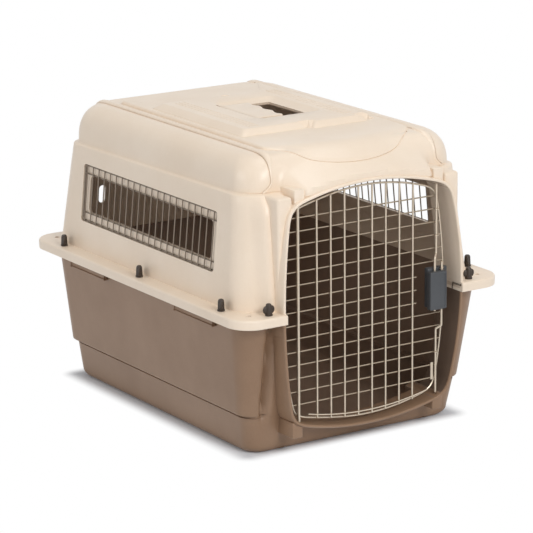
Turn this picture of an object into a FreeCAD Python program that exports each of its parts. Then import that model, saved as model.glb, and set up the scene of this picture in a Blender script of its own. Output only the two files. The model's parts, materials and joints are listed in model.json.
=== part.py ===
import FreeCAD, Part
import math
import os
import Sketcher
from FreeCAD import Matrix, Placement, Rotation, Vector

# Pet transport carrier. Millimetres, +Z up, the door faces -Y, origin on the floor under the
# middle of the shells. Two moulded half shells are bolted together at a flange half way up.

doc = FreeCAD.newDocument("pet_carrier")
sheet = doc.addObject("Spreadsheet::Sheet", "sizes")

DRIVING_SIZES = [
    # moulded shells
    ("shell_wall", 2.6), ("corner_radius", 46.0),
    ("base_half_width", 197.0), ("base_front", 262.0), ("base_rear", 284.0),
    ("step_level", 69.0), ("step_half_width", 210.0), ("step_out", 6.5), ("step_rise", 8.0),
    ("rim_half_width", 236.5), ("rim_front", 303.0), ("rim_rear", 328.0),
    ("flange_top", 247.0), ("flange_plate", 3.2), ("skirt_height", 15.5), ("skirt_wall", 3.4),
    ("flange_half_width", 258.5), ("flange_front", 337.0), ("flange_rear", 348.0),
    ("flange_corner", 42.0), ("lower_flange_inset", 4.2),
    ("cover_half_width", 230.0), ("cover_front", 297.0), ("cover_rear", 321.0),
    ("ledge_level", 424.0), ("ledge_half_width", 212.5), ("ledge_front", 281.0), ("ledge_rear", 300.0),
    ("ledge_inset", 7.0), ("ledge_rise", 4.0), ("crown_level", 489.0), ("crown_rise", 61.0),
    ("crown_pull_in", 45.0),
    ("deck_half_width", 143.0), ("deck_front", 250.0), ("deck_rear", 228.0), ("deck_height", 5.5),
    ("platform_half_width", 134.0), ("platform_front", 146.0), ("platform_rear", 140.0),
    ("platform_height", 9.5), ("platform_slope", 14.0),
    # doorway and its collar
    ("door_top", 438.0), ("door_foot", 38.0), ("door_side", 171.0),
    ("door_head_corner", 153.5), ("door_head_level", 412.0),
    ("door_foot_corner", 149.0), ("door_foot_level", 61.0),
    ("collar_wall", 8.0), ("collar_front", 333.0), ("collar_bow_radius", 1670.0),
    ("collar_middle", 245.0), ("collar_split", 231.5),
    # windows in the cover
    ("window_rear", 226.0), ("window_front", 203.0), ("window_low", 296.0), ("window_high", 395.0),
    ("window_rebate", 5.0), ("window_backing", 10.0), ("window_sill", 17.0),
    ("vent_width", 13.0), ("vent_height", 32.0), ("vent_low", 299.0), ("vent_pitch", 40.0),
    # wires
    ("mesh_front", 311.0), ("upright_wire", 1.6), ("cross_wire", 1.15), ("weld_sink", 0.4),
    ("upright_first", -98.6), ("upright_pitch", 26.8), ("cross_first", 394.1), ("cross_pitch", 22.0),
    ("frame_head_gap", 9.0), ("frame_foot_gap", 11.0), ("frame_side_gap", 21.0),
    ("frame_head_corner_gap", 16.5), ("frame_foot_corner_gap", 10.0), ("frame_foot_corner_rise", 7.0),
    ("grille_pitch", 19.4), ("grille_wire", 1.1), ("grille_frame_wire", 1.5),
    # hinge and latch
    ("rod_line", 135.0), ("hinge_rod", 2.5), ("running_gap", 0.08), ("latch_rod", 2.0),
    ("latch_line", 318.5), ("latch_jog", 7.0), ("latch_travel", 12.0), ("bend_radius", 4.0),
    ("housing_left", 114.8), ("housing_right", 148.0), ("housing_low", 207.6), ("housing_high", 278.0),
    ("housing_front", 326.5), ("housing_split", 314.4), ("housing_wall", 2.2), ("housing_back", 303.5),
    ("spring_wire", 0.6), ("spring_radius", 2.8), ("spring_pitch", 4.5), ("collar_disc", 3.2),
    # handle
    ("well_left", -54.0), ("well_right", 50.0), ("well_front", -71.0), ("well_rear", 53.0),
    ("well_depth", 30.0), ("well_jamb", 9.0),
    ("handle_pivot_inset", 10.0), ("handle_drop", 7.0), ("handle_reach", 41.0), ("handle_plate", 3.0),
    ("handle_end_gap", 4.0), ("handle_barrel", 4.2), ("handle_pin", 2.5), ("handle_lip", 9.0),
    # fasteners
    ("bolt_shank", 2.5), ("bolt_head", 4.5), ("bolt_head_height", 3.0), ("nut_radius", 5.0),
    ("nut_height", 17.0), ("wing_span", 21.0), ("wing_thick", 4.6), ("wing_height", 11.0),
    ("bolt_side", 243.0), ("bolt_side_pitch", 254.0), ("bolt_front_x", 196.0), ("bolt_front_y", 320.0),
    ("tie_hole", 4.7), ("tie_hole_x", 224.0), ("tie_hole_front", 305.0), ("tie_hole_rear", 314.0),
]
for row, (alias, value) in enumerate(DRIVING_SIZES, 1):
    sheet.set(f"A{row}", alias)
    sheet.set(f"B{row}", str(value))
    sheet.setAlias(f"B{row}", alias)
doc.recompute()


class Sizes:
    """Reads a driving size from the sheet by its name."""

    def __getattr__(self, alias):
        return float(sheet.get(alias))


s = Sizes()
NODES = []


def node(label, thing):
    """Keeps an object of the document as one sub-part, under the label that names its file."""
    thing.Label = label
    NODES.append(thing)
    return thing


def shaped(label, shape):
    """A sub-part whose outline comes from Part's own functions."""
    feature = doc.addObject("Part::Feature", label)
    feature.Shape = shape
    return node(label, feature)


# ------------------------------------------------------------------ outlines and solids

def plan_wire(half_width, front, rear, radius, level):
    """Rounded rectangle seen from above, front and rear both counted outwards."""
    w, f, b, r = half_width, -front, rear, radius
    d = r * (1 - math.sqrt(0.5))
    corners = [((w - r, f), (w - d, f + d), (w, f + r)), ((w, b - r), (w - d, b - d), (w - r, b)),
               ((-w + r, b), (-w + d, b - d), (-w, b - r)), ((-w, f + r), (-w + d, f + d), (-w + r, f))]
    edges = []
    for this, following in zip(corners, corners[1:] + corners[:1]):
        start, middle, end = [Vector(x, y, level) for x, y in this]
        edges.append(Part.Arc(start, middle, end).toShape())
        edges.append(Part.LineSegment(end, Vector(*following[0], level)).toShape())
    return Part.Wire(edges)


def plan_loft(sections, inset=0.0):
    """Solid through rounded rectangles given as (half width, front, rear, level)."""
    wires = [plan_wire(w - inset, f - inset, b - inset, s.corner_radius - inset, z) for w, f, b, z in sections]
    return Part.makeLoft(wires, True, True)


def box(x0, y0, z0, x1, y1, z1):
    return Part.makeBox(x1 - x0, y1 - y0, z1 - z0, Vector(x0, y0, z0))


def rod(radius, start, end):
    run = Vector(*end) - Vector(*start)
    return Part.makeCylinder(radius, run.Length, Vector(*start), run)


def turn(matrix_angle, axis=Vector(0, 0, 1), centre=Vector()):
    return Placement(Vector(), Rotation(axis, matrix_angle), centre)


def mirrored(shape):
    return shape.mirror(Vector(), Vector(1, 0, 0))


def bent_rod(points, radius, bend, closed=False):
    """Round wire through points, with each corner bent to a tangent arc."""
    points = [Vector(*p) for p in points]
    count = len(points)
    corners = range(count) if closed else range(1, count - 1)
    joints = {}
    for i in corners:
        before, here, after = points[i - 1], points[i], points[(i + 1) % count]
        u, v = (before - here).normalize(), (after - here).normalize()
        half = u.getAngle(v) / 2
        back = bend / math.tan(half)
        centre = here + (u + v).normalize() * (bend / math.sin(half))
        middle = centre + (here - centre).normalize() * bend
        joints[i] = (here + u * back, middle, here + v * back)
    edges = []
    for i in range(count if closed else count - 1):
        following = (i + 1) % count
        start = joints[i][2] if i in joints else points[i]
        end = joints[following][0] if following in joints else points[following]
        edges.append(Part.LineSegment(start, end).toShape())
        if following in joints:
            edges.append(Part.Arc(*joints[following]).toShape())
    path = Part.Wire(edges)
    first = edges[0]
    ring = Part.Circle(first.valueAt(first.FirstParameter), first.tangentAt(first.FirstParameter), radius)
    return path.makePipeShell([Part.Wire(ring.toShape())], True, True)


# ------------------------------------------------------------------ door outline

def arc_through(chord_x, chord_z, crown_z):
    """Centre height and radius of the arc over a symmetric chord, crown at x = 0."""
    rise = crown_z - chord_z
    radius = (chord_x ** 2 + rise ** 2) / (2 * abs(rise))
    return crown_z - math.copysign(radius, rise), radius


class ArchOutline:
    """Four arcs seen from the front: an arched head, bowed sides and a sagging foot."""

    def __init__(self, head_x, head_z, crown_z, side_x, foot_x, foot_z, sag_z, corner):
        self.head, self.foot = (head_x, head_z), (foot_x, foot_z)
        self.crown_z, self.side_x, self.sag_z, self.corner = crown_z, side_x, sag_z, corner

    def head_at(self, x):
        centre, radius = arc_through(*self.head, self.crown_z)
        return centre + math.sqrt(radius ** 2 - x ** 2)

    def foot_at(self, x):
        centre, radius = arc_through(*self.foot, self.sag_z)
        return centre - math.sqrt(radius ** 2 - x ** 2)

    def side_curve(self, sign=1):
        middle = (self.head[1] + self.foot[1]) / 2
        return Part.Arc(Vector(sign * self.head[0], 0, self.head[1]), Vector(sign * self.side_x, 0, middle),
                        Vector(sign * self.foot[0], 0, self.foot[1]))

    def side_at(self, z):
        arc = self.side_curve().toShape().Curve
        return arc.Center.x + math.sqrt(arc.Radius ** 2 - (z - arc.Center.z) ** 2)

    def prism(self, y0, y1):
        """Solid with this outline between two distances from the middle."""
        hx, hz = self.head
        fx, fz = self.foot
        head = Part.Arc(Vector(-hx, 0, hz), Vector(0, 0, self.crown_z), Vector(hx, 0, hz))
        foot = Part.Arc(Vector(fx, 0, fz), Vector(0, 0, self.sag_z), Vector(-fx, 0, fz))
        left = self.side_curve(-1)
        wire = Part.Wire(Part.__sortEdges__([a.toShape() for a in (head, self.side_curve(), foot, left)]))
        wire.translate(Vector(0, y0, 0))
        solid = Part.Face(wire).extrude(Vector(0, y1 - y0, 0))
        upright = [e for e in solid.Edges if len(e.Vertexes) == 2
                   and abs(e.Vertexes[0].Y - e.Vertexes[1].Y) > 1 and abs(e.tangentAt(e.FirstParameter).y) > 0.99]
        return solid.makeFillet(self.corner, upright)


opening = ArchOutline(s.door_head_corner, s.door_head_level, s.door_top, s.door_side,
                      s.door_foot_corner, s.door_foot_level, s.door_foot, 20.0)
collar = ArchOutline(s.door_head_corner + s.collar_wall * 0.8, s.door_head_level + s.collar_wall * 0.6,
                     s.door_top + s.collar_wall, s.door_side + s.collar_wall,
                     s.door_foot_corner + s.collar_wall * 0.8, s.door_foot_level - s.collar_wall * 0.6,
                     s.door_foot - s.collar_wall, 20.0 + s.collar_wall)
door_frame = ArchOutline(s.door_head_corner - s.frame_head_corner_gap, s.door_head_level - 1.0,
                         s.door_top - s.frame_head_gap, s.door_side - s.frame_side_gap,
                         s.door_foot_corner - s.frame_foot_corner_gap,
                         s.door_foot_level + s.frame_foot_corner_rise,
                         s.door_foot + s.frame_foot_gap, 14.0)

# planes of the door, front to back
rod_plane = -(s.mesh_front + s.hinge_rod - s.upright_wire)
cross_plane = -s.mesh_front + s.upright_wire + s.cross_wire - s.weld_sink
hinge_plane = cross_plane - s.cross_wire - s.hinge_rod + s.weld_sink
latch_plane = cross_plane - s.cross_wire - s.latch_rod - 0.5

# ------------------------------------------------------------------ shell levels

foot_round = 7.0
lower_levels = [(s.base_half_width - foot_round, s.base_front - foot_round, s.base_rear - foot_round, 0.0),
                (s.base_half_width - foot_round * 0.3, s.base_front - foot_round * 0.3,
                 s.base_rear - foot_round * 0.3, foot_round * 0.3),
                (s.base_half_width, s.base_front, s.base_rear, foot_round),
                (s.step_half_width, s.base_front + 14, s.base_rear + 15, s.step_level),
                (s.step_half_width + s.step_out, s.base_front + 14 + s.step_out, s.base_rear + 15 + s.step_out,
                 s.step_level + s.step_rise),
                (s.rim_half_width, s.rim_front, s.rim_rear, s.flange_top - s.flange_plate)]
cover_levels = [(s.cover_half_width, s.cover_front, s.cover_rear, s.flange_top - s.flange_plate),
                (s.ledge_half_width, s.ledge_front, s.ledge_rear, s.ledge_level),
                (s.ledge_half_width - s.ledge_inset, s.ledge_front - s.ledge_inset,
                 s.ledge_rear - s.ledge_inset, s.ledge_level + s.ledge_rise)]
crown_steps = 6
for step in range(1, crown_steps + 1):
    swing = math.pi / 2 * step / crown_steps
    pull = s.ledge_inset + s.crown_pull_in * (1 - math.cos(swing))
    rise = s.crown_rise * math.sin(swing)
    cover_levels.append((s.ledge_half_width - pull, s.ledge_front - pull * 0.75, s.ledge_rear - pull * 0.75,
                         s.ledge_level + s.ledge_rise + rise))

FAR = 900.0
bow_cylinder = Part.makeCylinder(s.collar_bow_radius, 2 * FAR,
                                 Vector(-FAR, s.collar_bow_radius - s.collar_front, s.collar_middle), Vector(1, 0, 0))
collar_block = collar.prism(-s.collar_front - 10, -200).common(bow_cylinder)
doorway = opening.prism(-FAR, -150)
socket_low = 31.0
socket_high = 441.0
socket_half = 9.0
socket_front = 318.0


def socket_block(x, z0, z1):
    """Block that carries the end of a hinge or latch rod."""
    return box(x - socket_half, -socket_front, z0, x + socket_half, -230, z1)


def rod_hole(x, y, radius, z0, z1):
    return Part.makeCylinder(radius, z1 - z0, Vector(x, y, z0))


# ------------------------------------------------------------------ lower shell

lower_outer = plan_loft(lower_levels)
floor_levels = [(w, f, b, z) for w, f, b, z in lower_levels]
floor_levels[0] = (*floor_levels[0][:3], s.shell_wall)
floor_levels[1] = (*floor_levels[1][:3], s.shell_wall + foot_round * 0.3)
floor_levels[2] = (*floor_levels[2][:3], s.shell_wall + foot_round)
floor_levels[-1] = (*floor_levels[-1][:3], s.flange_top)
lower_inner = plan_loft(floor_levels, s.shell_wall)
lower_flange_top = s.flange_top - s.flange_plate
lower_flange = Part.Face(plan_wire(s.flange_half_width - s.lower_flange_inset, s.flange_front - s.lower_flange_inset,
                                   s.flange_rear - s.lower_flange_inset, s.flange_corner - s.lower_flange_inset,
                                   lower_flange_top)).extrude(Vector(0, 0, -s.flange_plate))
lower_collar = collar_block.common(box(-FAR, -FAR, 0, FAR, FAR, s.collar_split))
lower = lower_outer.fuse([lower_flange])
lower = lower.cut(collar.prism(-FAR, -200).common(box(-FAR, -FAR, s.collar_split, FAR, FAR, FAR)))
lower = lower.fuse([lower_collar] + [socket_block(x, socket_low, s.door_foot_level - 4) for x in (-s.rod_line, s.rod_line)])
lower = lower.cut(lower_inner).cut(doorway)
lower = lower.cut(rod_hole(-s.rod_line, hinge_plane, s.hinge_rod + s.running_gap, socket_low + 3, 90))
lower = lower.cut(rod_hole(s.rod_line, latch_plane, s.latch_rod + 0.6, socket_low + 3, 90))

# ------------------------------------------------------------------ upper shell

wall_angle = math.degrees(math.atan((s.cover_half_width - s.ledge_half_width)
                                    / (s.ledge_level - s.flange_top + s.flange_plate)))
wall_foot = Vector(s.cover_half_width, 0, s.flange_top - s.flange_plate)


def on_wall(shape, side):
    """Moves a shape drawn with x outwards from the wall and z from its foot onto the leaning side wall."""
    placed = shape.copy()
    placed.Placement = Placement(wall_foot, Rotation(Vector(0, 1, 0), -wall_angle)).multiply(placed.Placement)
    return placed if side > 0 else mirrored(placed)


low = s.window_low - wall_foot.z
high = s.window_high - wall_foot.z
pane = box(-s.window_backing, -s.window_front - 4, low - 4, -0.6, s.window_rear + 4, high + 4)
rebate = box(-s.window_rebate, -s.window_front, low, 20, s.window_rear, high)
through = box(-40, -s.window_front + s.window_sill, low + s.window_sill, 20,
              s.window_rear - s.window_sill, high - s.window_sill)
rebate = rebate.makeFillet(8.0, [e for e in rebate.Edges if abs(e.tangentAt(e.FirstParameter).x) > 0.99])
through = through.makeFillet(10.0, [e for e in through.Edges if abs(e.tangentAt(e.FirstParameter).x) > 0.99])

cover_outer = plan_loft(cover_levels)
inner_levels = [(w, f, b, z - (s.shell_wall if i > 1 else 0)) for i, (w, f, b, z) in enumerate(cover_levels)]
inner_levels[0] = (*inner_levels[0][:3], s.collar_split - 5)
cover_inner = plan_loft(inner_levels, s.shell_wall)
crown_top = cover_levels[-1][3]
deck_top = crown_top + s.deck_height
platform_top = deck_top + s.platform_height


def raised(half_width, front, rear, low_z, high_z, slope, radius):
    """Low block with sloping sides on the roof."""
    foot = plan_wire(half_width, front, rear, radius, low_z)
    head = plan_wire(half_width - slope, front - slope, rear - slope, radius - slope, high_z)
    return Part.makeLoft([foot, head], True, True)


deck = raised(s.deck_half_width, s.deck_front, s.deck_rear, crown_top - 1, deck_top, 4.0, 20.0)
platform = raised(s.platform_half_width, s.platform_front, s.platform_rear, deck_top - 1, platform_top,
                  s.platform_slope, 24.0)
deck_under = raised(s.deck_half_width - 8, s.deck_front - 8, s.deck_rear - 8, crown_top - 5,
                    deck_top - s.shell_wall, 4.0, 14.0)
well = box(s.well_left, s.well_front, platform_top - s.well_depth, s.well_right, s.well_rear, platform_top + 20)
well_block = box(s.well_left - s.shell_wall, s.well_front - s.well_jamb, platform_top - s.well_depth - s.shell_wall,
                 s.well_right + s.shell_wall, s.well_rear + s.well_jamb, deck_top)
flange_plate = Part.Face(plan_wire(s.flange_half_width, s.flange_front, s.flange_rear, s.flange_corner,
                                   s.flange_top)).extrude(Vector(0, 0, -s.skirt_height))
under_flange = Part.Face(plan_wire(s.flange_half_width - s.skirt_wall, s.flange_front - s.skirt_wall,
                                   s.flange_rear - s.skirt_wall, s.flange_corner - s.skirt_wall,
                                   s.flange_top - s.flange_plate)).extrude(Vector(0, 0, -s.skirt_height - 5))
upper_collar = collar_block.common(box(-FAR, -FAR, s.collar_split, FAR, FAR, FAR))
upper = cover_outer.fuse([deck, platform, flange_plate.cut(under_flange)])
upper = upper.cut(cover_inner).cut(deck_under)
upper_blocks = [socket_block(x, s.door_head_level, socket_high) for x in (-s.rod_line, s.rod_line)]
front_parts = upper_collar.fuse(upper_blocks).cut(cover_inner)
upper = upper.fuse([front_parts, well_block] + [on_wall(pane, side) for side in (-1, 1)])
upper = upper.cut([doorway, well] + [on_wall(rebate, side) for side in (-1, 1)]
                  + [on_wall(through, side) for side in (-1, 1)])
upper = upper.cut(rod_hole(-s.rod_line, hinge_plane, s.hinge_rod + s.running_gap, 400, socket_high - 4))
upper = upper.cut(rod_hole(s.rod_line, latch_plane, s.latch_rod + 0.6, 400, socket_high - 4))
for count in range(8):
    x = (count - 3.5) * s.vent_pitch
    slot = box(x - s.vent_width / 2, 250, s.vent_low, x + s.vent_width / 2, FAR, s.vent_low + s.vent_height)
    slot = slot.makeFillet(s.vent_width / 2 - 0.1, [e for e in slot.Edges if abs(e.tangentAt(e.FirstParameter).y) > 0.99])
    upper = upper.cut(slot)

# ------------------------------------------------------------------ flange holes

bolt_places = [(side * s.bolt_side, y) for side in (-1, 1) for y in (-s.bolt_side_pitch, 0, s.bolt_side_pitch)]
bolt_places += [(side * s.bolt_front_x, -s.bolt_front_y) for side in (-1, 1)]
tie_places = [(side * s.tie_hole_x, y) for side in (-1, 1) for y in (-s.tie_hole_front, s.tie_hole_rear)]
drills = [Part.makeCylinder(s.bolt_shank + 0.3, 60, Vector(x, y, 210)) for x, y in bolt_places]
drills += [Part.makeCylinder(s.tie_hole, 60, Vector(x, y, 210)) for x, y in tie_places]
lower = lower.cut(drills)
upper = upper.cut(drills)

# handle pivot holes in the jambs of the well
pivot_x = s.well_left + s.handle_pivot_inset
pivot_z = platform_top - s.handle_drop
pin_hole = Part.makeCylinder(s.handle_pin + s.running_gap, s.well_rear - s.well_front + 12,
                             Vector(pivot_x, s.well_front - 6, pivot_z), Vector(0, 1, 0))
upper = upper.cut(pin_hole)

shaped("lower_shell", lower)
shaped("upper_shell", upper)

# ------------------------------------------------------------------ window grilles

bar_count = int((s.window_rear + s.window_front - 8) / s.grille_pitch) + 1
bar_start = (s.window_rear - s.window_front) / 2 - (bar_count - 1) * s.grille_pitch / 2
frame_x = -s.window_rebate + s.grille_frame_wire
bar_x = frame_x + s.grille_frame_wire + s.grille_wire - s.weld_sink
rail_x = bar_x - 2 * s.grille_wire + s.weld_sink
edge = s.grille_frame_wire + 0.4
for name, side in (("left", -1), ("right", 1)):
    loop = bent_rod([(frame_x, -s.window_front + edge, low + edge), (frame_x, s.window_rear - edge, low + edge),
                     (frame_x, s.window_rear - edge, high - edge), (frame_x, -s.window_front + edge, high - edge)],
                    s.grille_frame_wire, 7.0, closed=True)
    rails = [rod(s.grille_wire, (rail_x, -s.window_front + edge, z), (rail_x, s.window_rear - edge, z))
             for z in (low + s.window_sill - 1, high - s.window_sill + 1)]
    bars = [rod(s.grille_wire, (bar_x, bar_start + i * s.grille_pitch, low + edge),
                (bar_x, bar_start + i * s.grille_pitch, high - edge)) for i in range(bar_count)]
    shaped(f"{name}_grille_frame", on_wall(loop, side))
    shaped(f"{name}_grille_rails", on_wall(Part.makeCompound(rails), side))
    shaped(f"{name}_grille_bars", on_wall(Part.makeCompound(bars), side))

# ------------------------------------------------------------------ door wires

frame_plane = -s.mesh_front + 2 * s.upright_wire - s.weld_sink
uprights = []
for i in range(8):
    x = s.upright_first + i * s.upright_pitch
    uprights.append(rod(s.upright_wire, (x, -s.mesh_front, door_frame.foot_at(x)),
                        (x, -s.mesh_front, door_frame.head_at(x))))
shaped("door_upright_wires", Part.makeCompound(uprights))
crosses = []
for j in range(15):
    z = s.cross_first - j * s.cross_pitch
    reach = door_frame.side_at(z)
    beside_latch = s.housing_low < z < s.housing_high
    right = s.upright_first + 7 * s.upright_pitch + 9 if beside_latch else reach
    crosses.append(rod(s.cross_wire, (-reach, cross_plane, z), (right, cross_plane, z)))
shaped("door_cross_wires", Part.makeCompound(crosses))

frame_solid = door_frame.prism(-10, 0)
outline = [e for e in frame_solid.Edges if all(abs(v.Y) < 1e-6 for v in e.Vertexes)]
path = Part.Wire(Part.__sortEdges__(outline))
first = path.Edges[0]
ring = Part.Circle(first.valueAt(first.FirstParameter), first.tangentAt(first.FirstParameter), s.upright_wire)
frame_wire = path.makePipeShell([Part.Wire(ring.toShape())], True, True)
frame_wire.translate(Vector(0, frame_plane, 0))
shaped("door_frame_wire", frame_wire)

sill_gap = 6.0
sill_x = 118.0
sill_points = [Vector(x, -s.mesh_front - s.upright_wire - s.cross_wire + s.weld_sink, door_frame.foot_at(x) + sill_gap)
               for x in (-sill_x, 0, sill_x)]
sill_arc = Part.Wire(Part.Arc(*sill_points).toShape())
sill_edge = sill_arc.Edges[0]
sill_ring = Part.Circle(sill_edge.valueAt(sill_edge.FirstParameter), sill_edge.tangentAt(sill_edge.FirstParameter),
                        s.cross_wire)
shaped("door_sill_wire", sill_arc.makePipeShell([Part.Wire(sill_ring.toShape())], True, True))

hinge_low = socket_low + 4
hinge_high = socket_high - 5
hinge = doc.addObject("Part::Cylinder", "hinge_rod_stock")
hinge.setExpression("Radius", "sizes.hinge_rod")
hinge.Height = hinge_high - hinge_low
hinge.Placement = Placement(Vector(-s.rod_line, hinge_plane, hinge_low), Rotation())
node("hinge_rod", hinge)

# ------------------------------------------------------------------ latch

tip_high = opening.head_at(s.rod_line) - 4.0
tip_low = opening.foot_at(s.rod_line) + 4.5
upper_x = s.rod_line - s.latch_jog
lower_x = s.rod_line + s.latch_jog
upper_rod = bent_rod([(s.rod_line, latch_plane, tip_high), (s.rod_line, latch_plane, s.housing_high + 20),
                      (upper_x, -s.latch_line, s.housing_high + 14), (upper_x, -s.latch_line, s.housing_low - 5)],
                     s.latch_rod, s.bend_radius)
lower_rod = bent_rod([(s.rod_line, latch_plane, tip_low), (s.rod_line, latch_plane, s.housing_low - 38),
                      (lower_x, -s.latch_line, s.housing_low - 32), (lower_x, -s.latch_line, s.housing_high + 6)],
                     s.latch_rod, s.bend_radius)
shaped("upper_latch_rod", upper_rod)
shaped("lower_latch_rod", lower_rod)

middle_z = (s.housing_low + s.housing_high) / 2
disc_thick = 1.6
upper_disc_z = middle_z - 12
lower_disc_z = middle_z + 12
for label, x, z in (("upper_rod_collar", upper_x, upper_disc_z), ("lower_rod_collar", lower_x, lower_disc_z)):
    disc = Part.makeCylinder(s.collar_disc, disc_thick, Vector(x, -s.latch_line, z - disc_thick / 2))
    shaped(label, disc.cut(Part.makeCylinder(s.latch_rod, 10, Vector(x, -s.latch_line, z - 5))))


def spring(x, z0, z1):
    """Coil round a rod between a collar and the end wall of the housing."""
    turns_height = z1 - z0 - 2 * s.spring_wire
    helix = Part.makeHelix(s.spring_pitch, turns_height, s.spring_radius)
    start = helix.Edges[0]
    ring = Part.Circle(start.valueAt(start.FirstParameter), start.tangentAt(start.FirstParameter), s.spring_wire)
    coil = Part.Wire(helix.Edges).makePipeShell([Part.Wire(ring.toShape())], True, True)
    coil.translate(Vector(x, -s.latch_line, z0 + s.spring_wire))
    return coil


end_wall_low = s.housing_low + s.housing_wall
end_wall_high = s.housing_high - s.housing_wall
shaped("upper_latch_spring", spring(upper_x, end_wall_low + 0.2, upper_disc_z - disc_thick / 2 - 0.2))
shaped("lower_latch_spring", spring(lower_x, lower_disc_z + disc_thick / 2 + 0.2, end_wall_high - 0.2))


def plane_of(body, role):
    return next(f for f in body.Origin.OriginFeatures if f.Role == role)


def rectangle(body, name, role, left, bottom, right, top, level="0 mm"):
    """Sketch of a rectangle whose four sides are bound to the sheet."""
    sketch = body.newObject("Sketcher::SketchObject", name)
    sketch.AttachmentSupport = [(plane_of(body, role), "")]
    sketch.MapMode = "FlatFace"
    sketch.setExpression("AttachmentOffset.Base.z", level)
    corners = [Vector(0, 0, 0), Vector(30, 0, 0), Vector(30, 30, 0), Vector(0, 30, 0)]
    for i in range(4):
        sketch.addGeometry(Part.LineSegment(corners[i], corners[(i + 1) % 4]), False)
    for i in range(4):
        sketch.addConstraint(Sketcher.Constraint("Coincident", i, 2, (i + 1) % 4, 1))
    for line, kind in ((0, "Horizontal"), (1, "Vertical"), (2, "Horizontal"), (3, "Vertical")):
        sketch.addConstraint(Sketcher.Constraint(kind, line))
    for kind, line, point, label, value, expression in (
            ("DistanceX", 0, 1, "left", 0.0, left), ("DistanceY", 0, 1, "bottom", 0.0, bottom),
            ("DistanceX", 2, 1, "right", 30.0, right), ("DistanceY", 2, 1, "top", 30.0, top)):
        index = sketch.addConstraint(Sketcher.Constraint(kind, -1, 1, line, point, value))
        sketch.renameConstraint(index, label)
        sketch.setExpression(f".Constraints.{label}", expression)
    return sketch


def pad(body, name, sketch, length, reverse=False):
    feature = body.newObject("PartDesign::Pad", name)
    feature.Profile = sketch
    feature.setExpression("Length", length)
    feature.Reversed = reverse
    doc.recompute()
    return feature


def pocket(body, name, sketch, length, reverse=False):
    before = body.Tip.Shape.Volume
    feature = body.newObject("PartDesign::Pocket", name)
    feature.Profile = sketch
    feature.setExpression("Length", length)
    feature.Reversed = reverse
    doc.recompute()
    if feature.Shape.Volume > before - 1e-6:
        raise RuntimeError(f"{name} cuts nothing")
    return feature


def rounded(body, name, base, edges, radius):
    feature = body.newObject("PartDesign::Fillet", name)
    feature.Base = (base, edges)
    feature.Radius = radius
    doc.recompute()
    return feature


def edges_along(shape, direction, keep=lambda e: True):
    return [f"Edge{i}" for i, e in enumerate(shape.Edges, 1)
            if e.Curve.TypeId == "Part::GeomLine"
            and abs(e.tangentAt(e.FirstParameter).dot(Vector(*direction))) > 0.99 and keep(e)]


# front half of the latch housing: an open box that hides the springs
front = doc.addObject("PartDesign::Body", "latch_housing_front_body")
profile = rectangle(front, "housing_outline", "XZ_Plane", "sizes.housing_left", "sizes.housing_low",
                    "sizes.housing_right", "sizes.housing_high", "sizes.housing_split")
block = pad(front, "housing_block", profile, "sizes.housing_front - sizes.housing_split")
cavity_sketch = rectangle(front, "cavity_outline", "XZ_Plane", "sizes.housing_left + sizes.housing_wall",
                          "sizes.housing_low + sizes.housing_wall", "sizes.housing_right - sizes.housing_wall",
                          "sizes.housing_high - sizes.housing_wall", "sizes.housing_split")
cavity = pocket(front, "housing_cavity", cavity_sketch,
                "sizes.housing_front - sizes.housing_split - sizes.housing_wall", reverse=True)
for label, x in (("upper_bore", "sizes.rod_line - sizes.latch_jog"), ("lower_bore", "sizes.rod_line + sizes.latch_jog")):
    hole = front.newObject("Sketcher::SketchObject", label + "_sketch")
    hole.AttachmentSupport = [(plane_of(front, "XY_Plane"), "")]
    hole.MapMode = "FlatFace"
    hole.addGeometry(Part.Circle(Vector(130, -318, 0), Vector(0, 0, 1), 2.2), False)
    for kind, expression in (("DistanceX", x), ("DistanceY", "-sizes.latch_line")):
        index = hole.addConstraint(Sketcher.Constraint(kind, -1, 1, 0, 3, 130.0 if kind == "DistanceX" else -318.0))
        hole.renameConstraint(index, kind)
        hole.setExpression(f".Constraints.{kind}", expression)
    index = hole.addConstraint(Sketcher.Constraint("Radius", 0, 2.2))
    hole.renameConstraint(index, "radius")
    hole.setExpression(".Constraints.radius", "sizes.latch_rod + 0.09")
    pocket(front, label, hole, "sizes.housing_high + 50", reverse=True)
face_edges = [f"Edge{i}" for i, e in enumerate(front.Tip.Shape.Edges, 1)
              if all(abs(v.Y + s.housing_front) < 1e-6 for v in e.Vertexes)]
rounded(front, "housing_edge_round", front.Tip, face_edges, 1.4)
node("latch_housing_front", front)

# back half of the latch housing: it grips the frame wire of the door
back = doc.addObject("PartDesign::Body", "latch_housing_back_body")
profile = rectangle(back, "back_outline", "XZ_Plane", "sizes.housing_left + 3", "sizes.housing_low + 2",
                    "sizes.housing_right + 8", "sizes.housing_high + 4", "sizes.housing_back")
pad(back, "back_block", profile, "sizes.housing_split - sizes.housing_back")
groove = rectangle(back, "wire_groove_outline", "XZ_Plane", "sizes.door_side - sizes.frame_side_gap - 3.4",
                   "sizes.housing_low - 5", "sizes.door_side - sizes.frame_side_gap + 2.2", "sizes.housing_high + 9",
                   "sizes.housing_back")
pocket(back, "wire_groove", groove, "sizes.mesh_front - sizes.housing_back", reverse=True)
node("latch_housing_back", back)


# ------------------------------------------------------------------ rod guides on the mesh

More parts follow.
